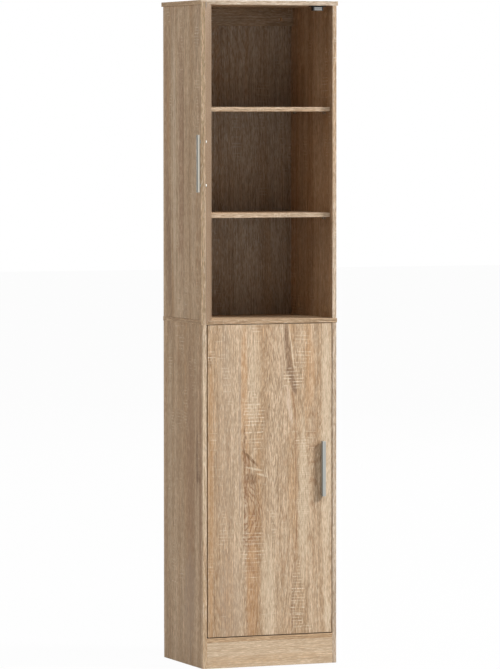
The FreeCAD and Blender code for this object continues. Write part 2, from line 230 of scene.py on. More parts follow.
def make_oak_spot():
    """One placed patch of the print, such as a dark line or a pale band: a ragged
    oval, stronger in the dark grain where Dark is 1 and in the pale flecks at 0."""
    tree, given, result = new_group("oak_spot", patch_inputs + [("Tint", "Color"),
                                                                ("Dark", "Float")],
                                    [("Colour", "Color")])
    held = maths(tree, "ABSOLUTE", maths(tree, "SUBTRACT", given["Dark"], given["Fleck"]))
    amount = product(tree, [share(tree, oval(tree, given, 0.8), 1.0, 0.5),
                            share(tree, held, 0.0, 1.0, 0.35, 1.0), given["Amount"]])
    feed(tree, result, {"Colour": tinted(tree, amount, given["Colour"], given["Tint"])})
    return tree


def make_oak_flame():
    """Nested year rings round a knot, or the long flames of a flat-sawn board, cut off
    at the joint with the plank on the left."""
    tree, given, result = new_group("oak_flame", patch_inputs + [("Tint", "Color"),
                                                                 ("Lines", "Float"),
                                                                 ("Joint", "Float")],
                                    [("Colour", "Color")])
    across = put(tree, "SeparateXYZ", {0: given["Place"]}).outputs["X"]
    distance = oval(tree, given, 0.35)
    lines = maths(tree, "PINGPONG", maths(tree, "MULTIPLY", distance, given["Lines"]), 0.5)
    amount = product(tree, [share(tree, lines, 0.22, 0.44), share(tree, distance, 1.0, 0.7),
                            given["Amount"], maths(tree, "GREATER_THAN", across, given["Joint"]),
                            share(tree, given["Fleck"], 1.0, 0.2, 0.35, 1.0)])
    feed(tree, result, {"Colour": tinted(tree, amount, given["Colour"], given["Tint"])})
    return tree


def make_saw_patch():
    """Pale strokes left by the saw across the grain, uneven and broken."""
    tree, given, result = new_group("saw_patch", patch_inputs + [("Step", "Float")],
                                    [("Colour", "Color")])
    along = put(tree, "SeparateXYZ", {0: given["Place"]}).outputs["Z"]
    drift = maths(tree, "MULTIPLY", mottle(tree, given["Place"], (4, 4, 9), 2.0), 2.4)
    rows = maths(tree, "ADD", maths(tree, "DIVIDE", along, given["Step"]), drift)
    each = put(tree, "TexWhiteNoise", {"W": maths(tree, "FLOOR", rows)}, noise_dimensions="1D")
    broken = mottle(tree, given["Place"], (90, 90, 110))
    amount = product(tree, [share(tree, maths(tree, "PINGPONG", rows, 0.5), 0.30, 0.47),
                            share(tree, oval(tree, given, 1.3), 1.0, 0.6), given["Amount"],
                            share(tree, each, 0.0, 0.8, 0.25, 1.0),
                            share(tree, broken, 0.36, 0.60, 0.2, 1.0),
                            share(tree, given["Fleck"], 0.0, 0.8, 0.35, 1.0)])
    scored = colour(232, 217, 194)
    feed(tree, result, {"Colour": tinted(tree, amount, given["Colour"], scored)})
    return tree


oak_print, oak_spot = make_oak_print(), make_oak_spot()
oak_flame, saw_patch = make_oak_flame(), make_saw_patch()
upright, lengthwise = (0, 0, 0), (0, -math.pi / 2, 0)    # which way the grain runs
orange, reddish, brown = colour(184, 138, 92), colour(140, 103, 74), colour(118, 88, 62)
greyish, pale, rosy = colour(164, 143, 123), colour(214, 195, 169), colour(208, 186, 164)
umber = colour(130, 104, 82)


def melamine(name, grain, start, spots=(), flames=(), saws=(), tone=(1, 1, 1), turn=0.0,
             about=(0, 0, 0)):
    """Board face printed with oak.  start picks the stretch of the print, and tone
    is how bright that stretch is.  spots, flames and saws are patches placed on the
    board as it hangs when shut: each has its middle, its reach along x, y and z, and
    how strong it is.  turn shuts a board that stands open, round the point about."""
    material, tree, shader = new_finish(name)
    place = put(tree, "TexCoord").outputs["Object"]
    if turn:
        back = Matrix.Rotation(turn, 3, "Z")
        offset = Vector(about) - back @ Vector(about)
        place = put(tree, "Mapping", {"Vector": place, "Location": offset,
                                      "Rotation": (0, 0, turn)}).outputs[0]
    sheet = put(tree, "Mapping", {"Vector": place, "Location": start, "Rotation": grain})
    printed = put(tree, "Group", {"Place": sheet}, node_tree=oak_print)
    shade = tinted(tree, 1.0, printed.outputs["Colour"], tuple(tone) + (1,), "MULTIPLY")

    def patch(kind, shade, **values):
        values.update(Colour=shade, Place=place, Ragged=printed.outputs["Ragged"],
                      Fleck=printed.outputs["Fleck"])
        return put(tree, "Group", values, node_tree=kind).outputs[0]

    for middle, reach, lean, tint, amount in spots:
        shade = patch(oak_spot, shade, Middle=middle, Reach=reach, Turn=lean, Tint=tint,
                      Amount=amount, Dark=0.0 if tint in (pale, rosy) else 1.0)
    for middle, reach, lean, lines, joint, tint, amount in flames:
        shade = patch(oak_flame, shade, Middle=middle, Reach=reach, Turn=lean, Lines=lines,
                      Joint=joint, Tint=tint, Amount=amount)
    for middle, reach, step, amount in saws:
        shade = patch(saw_patch, shade, Middle=middle, Reach=reach, Step=step, Amount=amount)
    relief = printed.outputs["Relief"]
    feed(tree, shader, {"Base Color": shade, "Specular IOR Level": 0.15,
                        "Roughness": share(tree, relief, -0.6, 0.8, 0.62, 0.48),
                        "Normal": dents(tree, relief, 0.25, 0.0002)})
    return material


def make_raw_board():
    """Cut edge of particle board: flat chips of several browns with small voids."""
    material, tree, shader = new_finish("raw_particle_board")
    place = put(tree, "TexCoord").outputs["Object"]
    chips = put(tree, "TexVoronoi", {"Vector": place, "Scale": 420.0, "Randomness": 1.0})
    pick = share(tree, put(tree, "SeparateXYZ", {0: chips.outputs["Color"]}), 0.0, 1.0)
    tone = tinted(tree, pick, colour(150, 116, 80), colour(205, 172, 130))
    voids = share(tree, mottle(tree, place, (500, 500, 500), 2.0), 0.62, 0.70)
    tone = tinted(tree, voids, tone, colour(84, 62, 42))
    feed(tree, shader, {"Base Color": tone, "Roughness": 0.85, "Specular IOR Level": 0.2,
                        "Normal": dents(tree, chips.outputs["Distance"], 0.5, 0.0004)})
    return material


raw_board = make_raw_board()
arris = 0.0006               # rounding of a board's edges
weld = 1e-6                  # corners nearer than this are the same corner


def copy_of(node, shut_by):
    """A node's mesh to work on, closed up.  shut_by turns one that stands open at
    rest, so that it is worked on as if shut."""
    work = bmesh.new()
    work.from_mesh(frame["nodes"][node].data)
    bmesh.ops.remove_doubles(work, verts=work.verts, dist=weld)
    if shut_by is not None:
        bmesh.ops.transform(work, matrix=shut_by, verts=work.verts)
    return work


def carve(name, work, operation, tool, materials):
    """Keeps what work has inside the tool (INTERSECT) or outside it (DIFFERENCE)."""
    pair = []
    for label, made in ((name + "_blank", work), (name + "_tool", tool)):
        mesh = bpy.data.meshes.new(label)
        made.to_mesh(mesh)
        made.free()
        pair.append(bpy.data.objects.new(label, mesh))
        bpy.context.scene.collection.objects.link(pair[-1])
    cut = pair[0].modifiers.new("carve", "BOOLEAN")
    cut.operation, cut.object, cut.solver = operation, pair[1], "EXACT"
    graph = bpy.context.evaluated_depsgraph_get()
    mesh = bpy.data.meshes.new_from_object(pair[0].evaluated_get(graph))
    for item in pair:
        bpy.data.objects.remove(item)
    mesh.name = name
    mesh.materials.clear()
    for material in materials:
        mesh.materials.append(material)
    for face in mesh.polygons:
        face.use_smooth = False
    return mesh


def stand(name, mesh, node, shut_by):
    """Makes mesh the piece that stands for a CAD node, opened again."""
    if shut_by is not None:
        mesh.transform(shut_by.inverted())
    piece = bpy.data.objects.new(name, mesh)
    bpy.context.scene.collection.objects.link(piece)
    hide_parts(node)
    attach(piece, piece_body(node))
    return piece


def piece_body(node):
    """The body that a CAD node moves with."""
    bodies = frame["record"]["behaviour"]["bodies"]
    return next(body for body, members in bodies.items() if node in members)


FACE, BAND, RAW, EXTRA = range(4)    # a board's materials, in their order


def rounded_board(node, materials, thickness, banded, shut_by=None,
                  radius=arris, inner=None):
    """A board as its CAD node is drilled, with its arrises rounded.  materials are
    for its faces, its banded edges, its raw edges and, where inner names a side by
    its axis, for that face; thickness is the axis across it, and banded names the
    edges with a band."""
    work = copy_of(node, shut_by)
    low = Vector(min(v.co[i] for v in work.verts) for i in range(3))
    high = Vector(max(v.co[i] for v in work.verts) for i in range(3))
    block = bmesh.new()
    bmesh.ops.create_cube(block, size=1)
    bmesh.ops.scale(block, vec=high - low, verts=block.verts)
    bmesh.ops.translate(block, vec=(high + low) / 2, verts=block.verts)
    bmesh.ops.bevel(block, geom=block.edges[:], offset=radius, segments=2, profile=0.5,
                    affect="EDGES", material=-1)
    mesh = carve(node + "_board", work, "INTERSECT", block, materials)
    for face in mesh.polygons:
        axis = max(range(3), key=lambda i: abs(face.normal[i]))
        side = "xyz"[axis] + ("+" if face.normal[axis] > 0 else "-")
        if side == inner:
            face.material_index = EXTRA
        elif "xyz"[axis] == thickness:
            face.material_index = FACE
        else:
            face.material_index = BAND if side in banded else RAW
    return stand(node + "_board", mesh, node, shut_by)


through = 9.0                # a patch reaches right through the board
# a spot: middle, reach, lean, tint, amount
side_spots = {
    "lower_side_left": [
        ((0, 0.037, 0.60), (through, 0.009, 0.27), (0, 0, 0), reddish, 0.55),
        ((0, 0.085, 0.48), (through, 0.036, 0.50), (0, 0, 0), reddish, 0.62),
        ((0, 0.010, 0.48), (through, 0.012, 0.50), (0, 0, 0), reddish, 0.95),
        ((0, 0.034, 0.56), (through, 0.012, 0.10), (0, 0, 0), brown, 1.00),
        ((0, 0.022, 0.515), (through, 0.016, 0.022), (0, 0, 0), brown, 0.65),
        ((0, 0.090, 0.17), (through, 0.050, 0.19), (0, 0, 0), greyish, 0.55),
        ((0, 0.270, 0.50), (through, 0.013, 0.50), (0, 0, 0), reddish, 0.40),
        ((0, 0.240, 0.55), (through, 0.022, 0.45), (0, 0, 0), pale, 0.30)],
    "upper_side_left": [
        ((0, 0.235, 1.12), (through, 0.009, 0.12), (-0.08, 0, 0), brown, 0.55),
        ((0, 0.230, 1.23), (through, 0.013, 0.05), (0.10, 0, 0), brown, 0.50),
        ((0, 0.229, 1.00), (through, 0.009, 0.08), (0, 0, 0), brown, 0.55),
        ((0, 0.264, 1.37), (through, 0.022, 0.50), (0, 0, 0), reddish, 0.60),
        ((0, 0.152, 1.38), (through, 0.024, 0.45), (0, 0, 0), reddish, 0.75),
        ((0, 0.203, 1.37), (through, 0.018, 0.45), (0, 0, 0), pale, 0.50),
        ((0, 0.252, 1.50), (through, 0.011, 0.17), (0, 0, 0), orange, 0.45),
        ((0, 0.135, 1.37), (through, 0.0035, 0.50), (0, 0, 0), brown, 0.65),
        ((0, 0.225, 1.37), (through, 0.0040, 0.48), (0, 0, 0), pale, 0.60),
        ((0, 0.247, 1.10), (through, 0.014, 0.20), (-0.05, 0, 0), brown, 0.60),
        ((0, 0.092, 1.37), (through, 0.0030, 0.45), (0, 0, 0), brown, 0.40),
        ((0, 0.021, 1.69), (through, 0.004, 0.020), (0, 0, 0), brown, 0.60)]}
# a flame: middle, reach, lean, how many lines, joint that cuts it off, tint, amount
side_flames = {
    "lower_side_left": [((0, 0.022, 0.515), (through, 0.020, 0.030), (0, 0, 0), 4, -through,
                         brown, 0.6)],
    "upper_side_left": [((0, 0.246, 1.10), (through, 0.022, 0.30), (-0.05, 0, 0), 4, -through,
                         brown, 0.5)]}
# a sawn patch: middle, reach, step between its strokes, amount
side_saws = {
    "lower_side_left": [((0, 0.150, 0.87), (through, 0.030, 0.030), 0.0105, 0.6),
                        ((0, 0.160, 0.67), (through, 0.030, 0.035), 0.0090, 0.4),
                        ((0, 0.150, 0.24), (through, 0.024, 0.030), 0.0100, 0.5)],
    "upper_side_left": [((0, 0.037, 1.705), (through, 0.026, 0.036), 0.0085, 0.8),
                        ((0, 0.170, 0.985), (through, 0.028, 0.034), 0.0100, 0.6),
                        ((0, 0.036, 1.455), (through, 0.020, 0.024), 0.0090, 0.4)]}
# where on the print each side is cut from
side_starts = {"lower_side_left": (3.1, 0.4, 0.0), "lower_side_right": (5.3, 1.7, 0.6),
               "upper_side_left": (7.7, 2.2, 0.3), "upper_side_right": (9.2, 3.5, 1.1)}


def elsewhere(start, along):
    """Another stretch of the print, so that a band or back doesn't repeat the face."""
    return tuple(value + along for value in start)


left_band = melamine("left_side_band", upright, (12.4, 6.1, 0.2), tone=(1.10, 1.16, 1.22))
right_band = melamine("right_side_band", upright, (13.9, 6.8, 1.4), tone=(1.00, 1.09, 1.24))
for node, start in side_starts.items():
    printed = melamine(node + "_oak", upright, start, side_spots.get(node, ()),
                       side_flames.get(node, ()), side_saws.get(node, ()), tone=(0.99, 0.97, 0.94))
    # the inner faces get a darker copy of the print: painted shade for the dim inside of the cabinet
    inner_painted_shade = melamine(node + "_inner", upright, elsewhere(start, 2.6),
                      tone=(0.92, 0.91, 0.93))
    band, inner = (right_band, "x-") if node.endswith("right") else (left_band, "x+")
    rounded_board(node, [printed, band, raw_board, inner_painted_shade], "x", ["y-"], inner=inner)


# ---- Plinth and bottom panel ----
# The plinth board closes the front under the bottom panel, which is held between
# the lower sides by cam fittings.  Both have their grain from side to side.
plinth_calm = colour(196, 171, 143)
across_band = melamine("plinth_band", lengthwise, (2.9, 14.2, 3.3), tone=(1.12, 1.20, 1.30))
plinth_oak = melamine("plinth_oak", lengthwise, (21.3, 4.4, 0.8),
                      [((0, 0, 0), (through, through, through), (0, 0, 0), plinth_calm, 0.60)],
                      tone=(1.10, 1.18, 1.25))
rounded_board("plinth_board", [plinth_oak, across_band, raw_board], "y", ["z+"])
bottom_oak = melamine("bottom_oak", lengthwise, (24.1, 2.7, 1.9))
bottom_band = melamine("bottom_band", lengthwise, (26.6, 8.1, 5.2), tone=(0.90, 0.84, 0.76))
rounded_board("bottom_panel", [bottom_oak, bottom_band, raw_board], "z", ["y-"])


# ---- Mid panel and top panel ----
# The mid panel runs through between the two stages and stands a little proud of
# them in front and at the sides; the top panel also covers the back.  Both are
# banded in front and at the sides and raw behind.
fore_and_aft = (math.pi / 2, 0, 0)
edge_band = melamine("panel_side_band", fore_and_aft, (36.4, 11.3, 7.7), tone=(0.97, 0.94, 0.89))
for node, start, band_tone in (("mid_panel", (31.2, 5.5, 2.2), (0.91, 0.94, 0.98)),
                               ("top_panel", (33.9, 9.1, 4.0), (1.06, 1.22, 1.48))):
    printed = melamine(node + "_oak", lengthwise, start)
    band = melamine(node + "_band", lengthwise, elsewhere(start, 0.9), tone=band_tone)
    board = rounded_board(node, [printed, band, raw_board, edge_band], "z", ["y-", "x-", "x+"])
    for face in board.data.polygons:
        if face.material_index == BAND and abs(face.normal.x) > 0.5:
            face.material_index = EXTRA


# ---- Back rail ----
# A narrow board under the top panel, across the back, with two countersunk holes
# for the wall screws.  Its lower edge is banded.
wall_hole_height, countersink_reach = 1.757, 0.006
# the rail's print is toned darker: painted shade for its place at the back, inside the cabinet
rail_oak_painted_shade = melamine("rail_oak_painted_shade", lengthwise, (41.5, 3.8, 1.4), tone=(0.70, 0.74, 0.80))
rail = rounded_board("back_rail", [rail_oak_painted_shade, across_band, raw_board], "y", ["z-"])
for face in rail.data.polygons:
    near_hole = abs(face.center.z - wall_hole_height) < countersink_reach
    if near_hole and 0.3 < abs(face.normal.y) < 0.9:
        face.material_index = RAW


# ---- Back panels ----
# Two sheets of 3 mm hardboard nailed on from behind.  The side that faces into
# the cabinet is printed with the same oak, upright; the rear is left brown.
def make_hardboard():
    """Bare hardboard: clouded brown with fine pale fibres."""
    material, tree, shader = new_finish("hardboard")
    place = put(tree, "TexCoord").outputs["Object"]
    cloud = share(tree, mottle(tree, place, (14, 14, 14), 3.0), 0.35, 0.65)
    tone = tinted(tree, cloud, colour(150, 111, 76), colour(160, 121, 85))
    fibre = share(tree, mottle(tree, place, (600, 600, 420), 3.0), 0.36, 0.66)
    tone = tinted(tree, maths(tree, "MULTIPLY", fibre, 0.5), tone, colour(186, 148, 108))
    feed(tree, shader, {"Base Color": tone, "Roughness": 0.75, "Specular IOR Level": 0.25,
                        "Normal": dents(tree, fibre, 0.4, 0.0002)})
    return material


hardboard = make_hardboard()
sheet_arris = 0.0002         # rounding of the thin sheets' edges
for node, start in (("back_panel_upper", (51.4, 7.2, 0.5)), ("back_panel_lower", (54.8, 1.3, 0.9))):
    # the printed side is toned darker and cooler: painted shade for the inside of the cabinet
    printed = melamine(node + "_oak", upright, start, tone=(0.74, 0.83, 0.98))
    rounded_board(node, [printed, hardboard, hardboard, hardboard], "y", [],
                  radius=sheet_arris, inner="y+")


# ---- Shelves ----
# Four loose boards, two in each stage, lying on pins.  Only the front edge is
# banded.
for node, start in (("upper_shelf_1", (61.2, 1.5, 3.2)), ("upper_shelf_2", (63.9, 4.1, 1.0)),
                    ("lower_shelf_1", (66.3, 2.5, 5.2)), ("lower_shelf_2", (68.8, 6.6, 2.7))):
    printed = melamine(node + "_oak", lengthwise, start)
    band = melamine(node + "_band", lengthwise, elsewhere(start, 0.7), tone=(0.92, 0.96, 1.02))
    rounded_board(node, [printed, band, raw_board], "z", ["y-"])


# ---- Doors ----
# Two inset doors of the same board, banded on all four edges and hung on the
# left.  The upper one stands open, so its print is laid out as if it were shut.
door_hinge = {j["name"]: j for j in frame["joints"]}["upper_door_hinge"]
hinge_point = Vector(door_hinge["pos_m"])
shut_angle = math.radians(door_hinge["range_deg"][1])
shut = (Matrix.Translation(hinge_point) @ Matrix.Rotation(shut_angle, 4, "Z")
        @ Matrix.Translation(-hinge_point))
door_spots = [
    ((-0.075, 0, 0.715), (0.014, through, 0.27), (0, 0, 0), orange, 0.60),
    ((-0.054, 0, 0.240), (0.021, through, 0.26), (0, 0, 0), orange, 0.60),
    ((-0.172, 0, 0.450), (0.010, through, 0.60), (0, 0, 0), orange, 0.50),
    ((-0.128, 0, 0.600), (0.042, through, 0.40), (0, 0, 0), greyish, 0.30),
    ((-0.088, 0, 0.620), (0.005, through, 0.36), (0, 0, 0), greyish, 0.85),
    ((-0.118, 0, 0.190), (0.045, through, 0.17), (0, 0, 0), greyish, 0.50),
    ((-0.040, 0, 0.790), (0.024, through, 0.15), (0, 0, 0), pale, 0.45),
    ((-0.008, 0, 0.200), (0.026, through, 0.20), (0, 0, 0), pale, 0.55),
    ((0.098, 0, 0.440), (0.020, through, 0.30), (0, 0, 0), pale, 0.75),
    ((0.166, 0, 0.550), (0.018, through, 0.60), (0, 0, 0), pale, 0.70),
    ((0.168, 0, 0.130), (0.012, through, 0.05), (0, 0, 0), pale, 0.90),
    ((0.120, 0, 0.800), (0.016, through, 0.15), (0, 0, 0), orange, 0.45),
    ((0.132, 0, 0.600), (0.010, through, 0.16), (0, 0, 0), reddish, 0.30),
    ((-0.075, 0, 0.590), (0.005, through, 0.095), (0, 0, 0), brown, 0.90),
    ((-0.068, 0, 0.560), (0.010, through, 0.050), (0, -0.20, 0), reddish, 0.90),
    ((-0.058, 0, 0.566), (0.0055, through, 0.038), (0, -0.78, 0), brown, 1.20),
    ((-0.056, 0, 0.510), (0.028, through, 0.019), (0, 0.15, 0), brown, 0.95),
    ((-0.070, 0, 0.480), (0.008, through, 0.045), (0, -0.10, 0), reddish, 0.90),
    ((-0.047, 0, 0.537), (0.036, through, 0.0038), (0, 0.20, 0), pale, 1.00),
    ((-0.024, 0, 0.520), (0.024, through, 0.0038), (0, 0.30, 0), pale, 0.90),
    ((-0.074, 0, 0.420), (0.0025, through, 0.085), (0, 0, 0), brown, 0.70),
    ((0.048, 0, 0.902), (0.009, through, 0.042), (0, -0.04, 0), umber, 1.20),
    ((0.053, 0, 0.855), (0.013, through, 0.050), (0, -0.08, 0), umber, 1.00),
    ((0.060, 0, 0.805), (0.015, through, 0.042), (0, -0.12, 0), umber, 1.20),
    ((0.069, 0, 0.765), (0.011, through, 0.036), (0, -0.25, 0), umber, 1.30),
    ((0.0635, 0, 0.862), (0.003, through, 0.075), (0, -0.14, 0), pale, 1.00),
    ((0.058, 0, 0.700), (0.009, through, 0.070), (0, -0.12, 0), rosy, 0.95),
    ((0.070, 0, 0.710), (0.003, through, 0.055), (0, -0.12, 0), reddish, 0.90),
    ((0.0755, 0, 0.560), (0.0022, through, 0.15), (0, 0, 0), reddish, 0.90),
    ((0.077, 0, 0.350), (0.0022, through, 0.12), (0, 0.04, 0), reddish, 0.80),
    ((0.117, 0, 0.787), (0.004, through, 0.007), (0, 0, 0), brown, 0.60),
    ((0.065, 0, 0.165), (0.0022, through, 0.10), (0, 0, 0), brown, 0.85),
    ((-0.161, 0, 0.185), (0.0016, through, 0.12), (0, 0, 0), brown, 0.85),
    ((-0.077, 0, 0.335), (0.0016, through, 0.030), (0, 0, 0), brown, 0.95),
    ((-0.070, 0, 0.622), (0.003, through, 0.008), (0, 0, 0), brown, 0.95),
    ((-0.174, 0, 0.830), (0.006, through, 0.022), (0, 0, 0), brown, 0.85)]
door_flames = [
    ((-0.082, 0, 0.425), (0.074, through, 0.118), (0, -0.10, 0), 8, -0.0765, reddish, 0.95),
    ((-0.056, 0, 0.190), (0.034, through, 0.260), (0, 0.03, 0), 4, -0.0765, reddish, 0.55),
    ((0.008, 0, 0.640), (0.044, through, 0.36), (0, -0.03, 0), 9, -0.0765, brown, 0.38)]
door_saws = [
    ((-0.048, 0, 0.660), (0.036, through, 0.090), 0.0092, 0.90),
    ((0.066, 0, 0.785), (0.036, through, 0.040), 0.0090, 1.00),
    ((0.092, 0, 0.860), (0.036, through, 0.070), 0.0110, 0.65),
    ((0.096, 0, 0.600), (0.028, through, 0.030), 0.0080, 0.85),
    ((0.098, 0, 0.500), (0.026, through, 0.130), 0.0056, 0.45),
    ((0.081, 0, 0.175), (0.026, through, 0.088), 0.0085, 1.05),
    ((-0.052, 0, 0.318), (0.044, through, 0.105), 0.0100, 0.65),
    ((-0.172, 0, 0.838), (0.015, through, 0.026), 0.0075, 1.30),
    ((-0.172, 0, 0.280), (0.014, through, 0.040), 0.0080, 0.60)]
door_oak = melamine("lower_door_oak", upright, (72.1, 3.6, 0.4), door_spots,
                    door_flames, door_saws, tone=(1.0, 1.02, 1.05))
door_band = melamine("lower_door_band", upright, (74.4, 8.2, 1.7))
door_inner = melamine("lower_door_inner", upright, (76.8, 4.9, 3.1))
all_round = ["x-", "x+", "z-", "z+"]
rounded_board("lower_door", [door_oak, door_band, raw_board, door_inner], "y", all_round,
              inner="y+")
open_oak = melamine("upper_door_oak", upright, (81.7, 5.9, 2.8), turn=shut_angle,
                    about=hinge_point)
# the open door's inner face is printed at half brightness: painted shade, not a different board
open_inner_painted_shade = melamine("upper_door_inner_painted_shade", upright, (87.1, 2.2, 0.7), tone=(0.495, 0.485, 0.50),
                      turn=shut_angle, about=hinge_point)
# its edges are printed much brighter than the lower door's band: painted light on the edges of the open door
open_band_painted_light = melamine("upper_door_band_painted_light", upright, (84.9, 0.8, 1.2), tone=(1.38, 1.45, 1.52),
                     turn=shut_angle, about=hinge_point)
rounded_board("upper_door", [open_oak, open_band_painted_light, raw_board, open_inner_painted_shade], "y", all_round,
              shut_by=shut, inner="y+")


# ---- Bar handles ----
# A flat bar of satin nickel-plated zinc with its front edges bevelled, on two
# round feet.  Each is screwed on through its door from behind.
def metal(name, tone, rough, brushed, streak):
    """Plated or plain metal.  brushed is how fine its lines are along each axis, and
    streak how much darker they are."""
    material, tree, shader = new_finish(name)
    place = put(tree, "TexCoord").outputs["Object"]
    spread = 0.06
    lines = share(tree, mottle(tree, place, brushed, 3.0), 0.3, 0.7)
    dull = tuple(c * (1 - streak) for c in tone[:3]) + (1,)
    feed(tree, shader, {"Base Color": tinted(tree, lines, dull, tone), "Metallic": 1.0,
                        "Roughness": share(tree, lines, 0, 1, rough - spread, rough + spread),
                        "Normal": dents(tree, lines, 0.15, 0.00005)})
    return material


drawn = (900, 900, 12)       # the brushing runs along the bar
nickel = metal("satin_nickel", colour(178, 179, 174), rough=0.36, brushed=drawn, streak=0.10)
# the bevels get a dark copy of the same nickel: painted shade and dark reflection
nickel_bevel_painted_shade = metal("satin_nickel_bevel_painted_shade", colour(80, 79, 76), rough=0.30, brushed=drawn,
                     streak=0.10)
# the sides get a pale copy of the same nickel: painted highlight
nickel_side_painted_light = metal("satin_nickel_side_painted_light", colour(222, 219, 208), rough=0.62, brushed=drawn,
                    streak=0.06)
bar_depth, bevel_across, bevel_deep = 0.009, 0.0015, 0.0035
foot_radius, foot_spacing, foot_sides = 0.0045, 0.114, 32
bar_corner = 0.0005
smallest_flat = 1e-4         # in square metres; anything less is part of a corner
bar_low, bar_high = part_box("lower_handle")
bar_x = (bar_low.x + bar_high.x) / 2
bar_front, door_face = bar_low.y, bar_high.y
bar_back = bar_front + bar_depth
forwards = Vector((0, 0, 1)).rotation_difference(Vector((0, -1, 0))).to_matrix().to_4x4()
for stage, shut_by in (("lower", None), ("upper", shut)):
    low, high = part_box(stage + "_handle")
    work = bmesh.new()
    half = (bar_high.x - bar_low.x) / 2
    profile = [(-half, bar_back), (half, bar_back), (half, bar_front + bevel_deep),
               (half - bevel_across, bar_front), (bevel_across - half, bar_front),
               (-half, bar_front + bevel_deep)]
    ring = [work.verts.new((bar_x + x, y, low.z)) for x, y in profile]
    end = work.faces.new(ring)
    grown = bmesh.ops.extrude_face_region(work, geom=[end])
    top = [item for item in grown["geom"] if isinstance(item, bmesh.types.BMVert)]
    bmesh.ops.translate(work, vec=(0, 0, high.z - low.z), verts=top)
    bmesh.ops.recalc_face_normals(work, faces=work.faces)
    bmesh.ops.bevel(work, geom=work.edges[:], offset=bar_corner, segments=2, profile=0.5,
                    affect="EDGES", material=-1)
    for up in (-foot_spacing / 2, foot_spacing / 2):
        foot = Vector((bar_x, (door_face + bar_back) / 2, (low.z + high.z) / 2 + up))
        bmesh.ops.create_cone(work, cap_ends=True, segments=foot_sides, radius1=foot_radius,
                              radius2=foot_radius, depth=door_face - bar_back,
                              matrix=Matrix.Translation(foot) @ forwards)
    mesh = bpy.data.meshes.new(stage + "_bar_handle")
    work.to_mesh(mesh)
    work.free()
    bar_finishes = [nickel, nickel_bevel_painted_shade, nickel_side_painted_light]
    for material in bar_finishes:
        mesh.materials.append(material)
    for face in mesh.polygons:
        forward = abs(face.normal.y)
        if face.area > smallest_flat and abs(face.normal.z) < 0.1 and forward < 0.6:
            # bevels take the painted-shade nickel, the sides the painted-highlight nickel
            used = nickel_bevel_painted_shade if forward > 0.2 else nickel_side_painted_light
            face.material_index = bar_finishes.index(used)
    stand(stage + "_bar_handle", mesh, stage + "_handle", shut_by)


def each_screw(work):
    """The corners of each separate solid in a mesh, solid by solid."""
    left = dict.fromkeys(work.verts)
    while left:
        reached = [next(iter(left))]
        del left[reached[0]]
        for vert in reached:
            for linked in vert.link_edges:
                other = linked.other_vert(vert)
                if other in left:
                    del left[other]
                    reached.append(other)
        yield reached


def cross_slotted(node, outward, shut_by, material, rim=0.0):
    """Screws as their CAD node has them, with a cross recess in each head.  outward
    is the way the heads face, and rim the rounding of a raised head."""
    wide, narrow, deep = 0.0017, 0.00035, 0.0009
    plus = [(narrow, narrow), (wide, narrow), (wide, -narrow), (narrow, -narrow),
            (narrow, -wide), (-narrow, -wide), (-narrow, -narrow), (-wide, -narrow),
            (-wide, narrow), (-narrow, narrow), (-narrow, wide), (narrow, wide)]
    level, rim_angle = 1e-5, 0.3
    outward = Vector(outward)
    turn = Vector((0, 0, 1)).rotation_difference(outward).to_matrix().to_4x4()
    work, recess, rims = copy_of(node, shut_by), bmesh.new(), {}
    for screw in each_screw(work):
        top = max(vert.co.dot(outward) for vert in screw)
        flat = [vert for vert in screw if vert.co.dot(outward) > top - level]
        rims.update((linked, True) for vert in flat for linked in vert.link_edges
                    if all(end in flat for end in linked.verts) and not linked.is_wire
                    and linked.calc_face_angle(0.0) > rim_angle)
        middle = sum((vert.co for vert in flat), Vector()) / len(flat)
        place = Matrix.Translation(middle - outward * deep) @ turn
        ring = [recess.verts.new(place @ Vector((x, y, 0))) for x, y in plus]
        grown = bmesh.ops.extrude_face_region(recess, geom=[recess.faces.new(ring)])
        raised = [item for item in grown["geom"] if isinstance(item, bmesh.types.BMVert)]
        bmesh.ops.translate(recess, vec=outward * deep * 2, verts=raised)
    if rim:
        bmesh.ops.bevel(work, geom=list(rims), offset=rim, segments=2, profile=0.5,
                        affect="EDGES", material=-1)
    bmesh.ops.recalc_face_normals(recess, faces=recess.faces)
    mesh = carve(node + "_crossed", work, "DIFFERENCE", recess, [material])
    for face in mesh.polygons:
        face.material_index = 0
    stand(node + "_crossed", mesh, node, shut_by)


turned = (400, 400, 400)
backwards, downwards = (0, 1, 0), (0, 0, -1)
steel = metal("plated_steel", colour(205, 205, 200), rough=0.34, brushed=turned, streak=0.12)
for stage, shut_by in (("lower", None), ("upper", shut)):
    cross_slotted(stage + "_handle_screws", backwards, shut_by, steel, rim=0.0006)


# ---- Catches and strike plates ----
# Under the top and mid panels a black plastic block holds a magnet between two
# steel poles, on a flange with two screws.  It pulls on a small steel plate that
# is screwed to the inner face of the door.
dark_steel = metal("dark_screw_steel", colour(96, 92, 88), rough=0.40, brushed=turned,
                   streak=0.12)
# the strike plates get a darker, browner steel: painted reflection of the wood around them
strike_steel_painted_reflection = metal("strike_plate_steel_painted_reflection", colour(150, 143, 134), rough=0.38,
                     brushed=(60, 60, 900), streak=0.10)
for stage, shut_by in (("lower", None), ("upper", shut)):
    cross_slotted(stage + "_strike_screws", backwards, shut_by, dark_steel)
    frame["nodes"][stage + "_strike_plate"].material_slots[0].material = strike_steel_painted_reflection
cross_slotted("catch_screws", downwards, None, steel)


# ---- Small fittings ----
# Cams, bolts, dowels, nails, pivots and pins, as they come from the hardware bag:
# zinc, plated steel, beech and plastic.  Their CAD shapes stay and get finishes.
zinc = metal("cast_zinc", colour(150, 150, 148), rough=0.50, brushed=(250, 250, 250),
             streak=0.20)


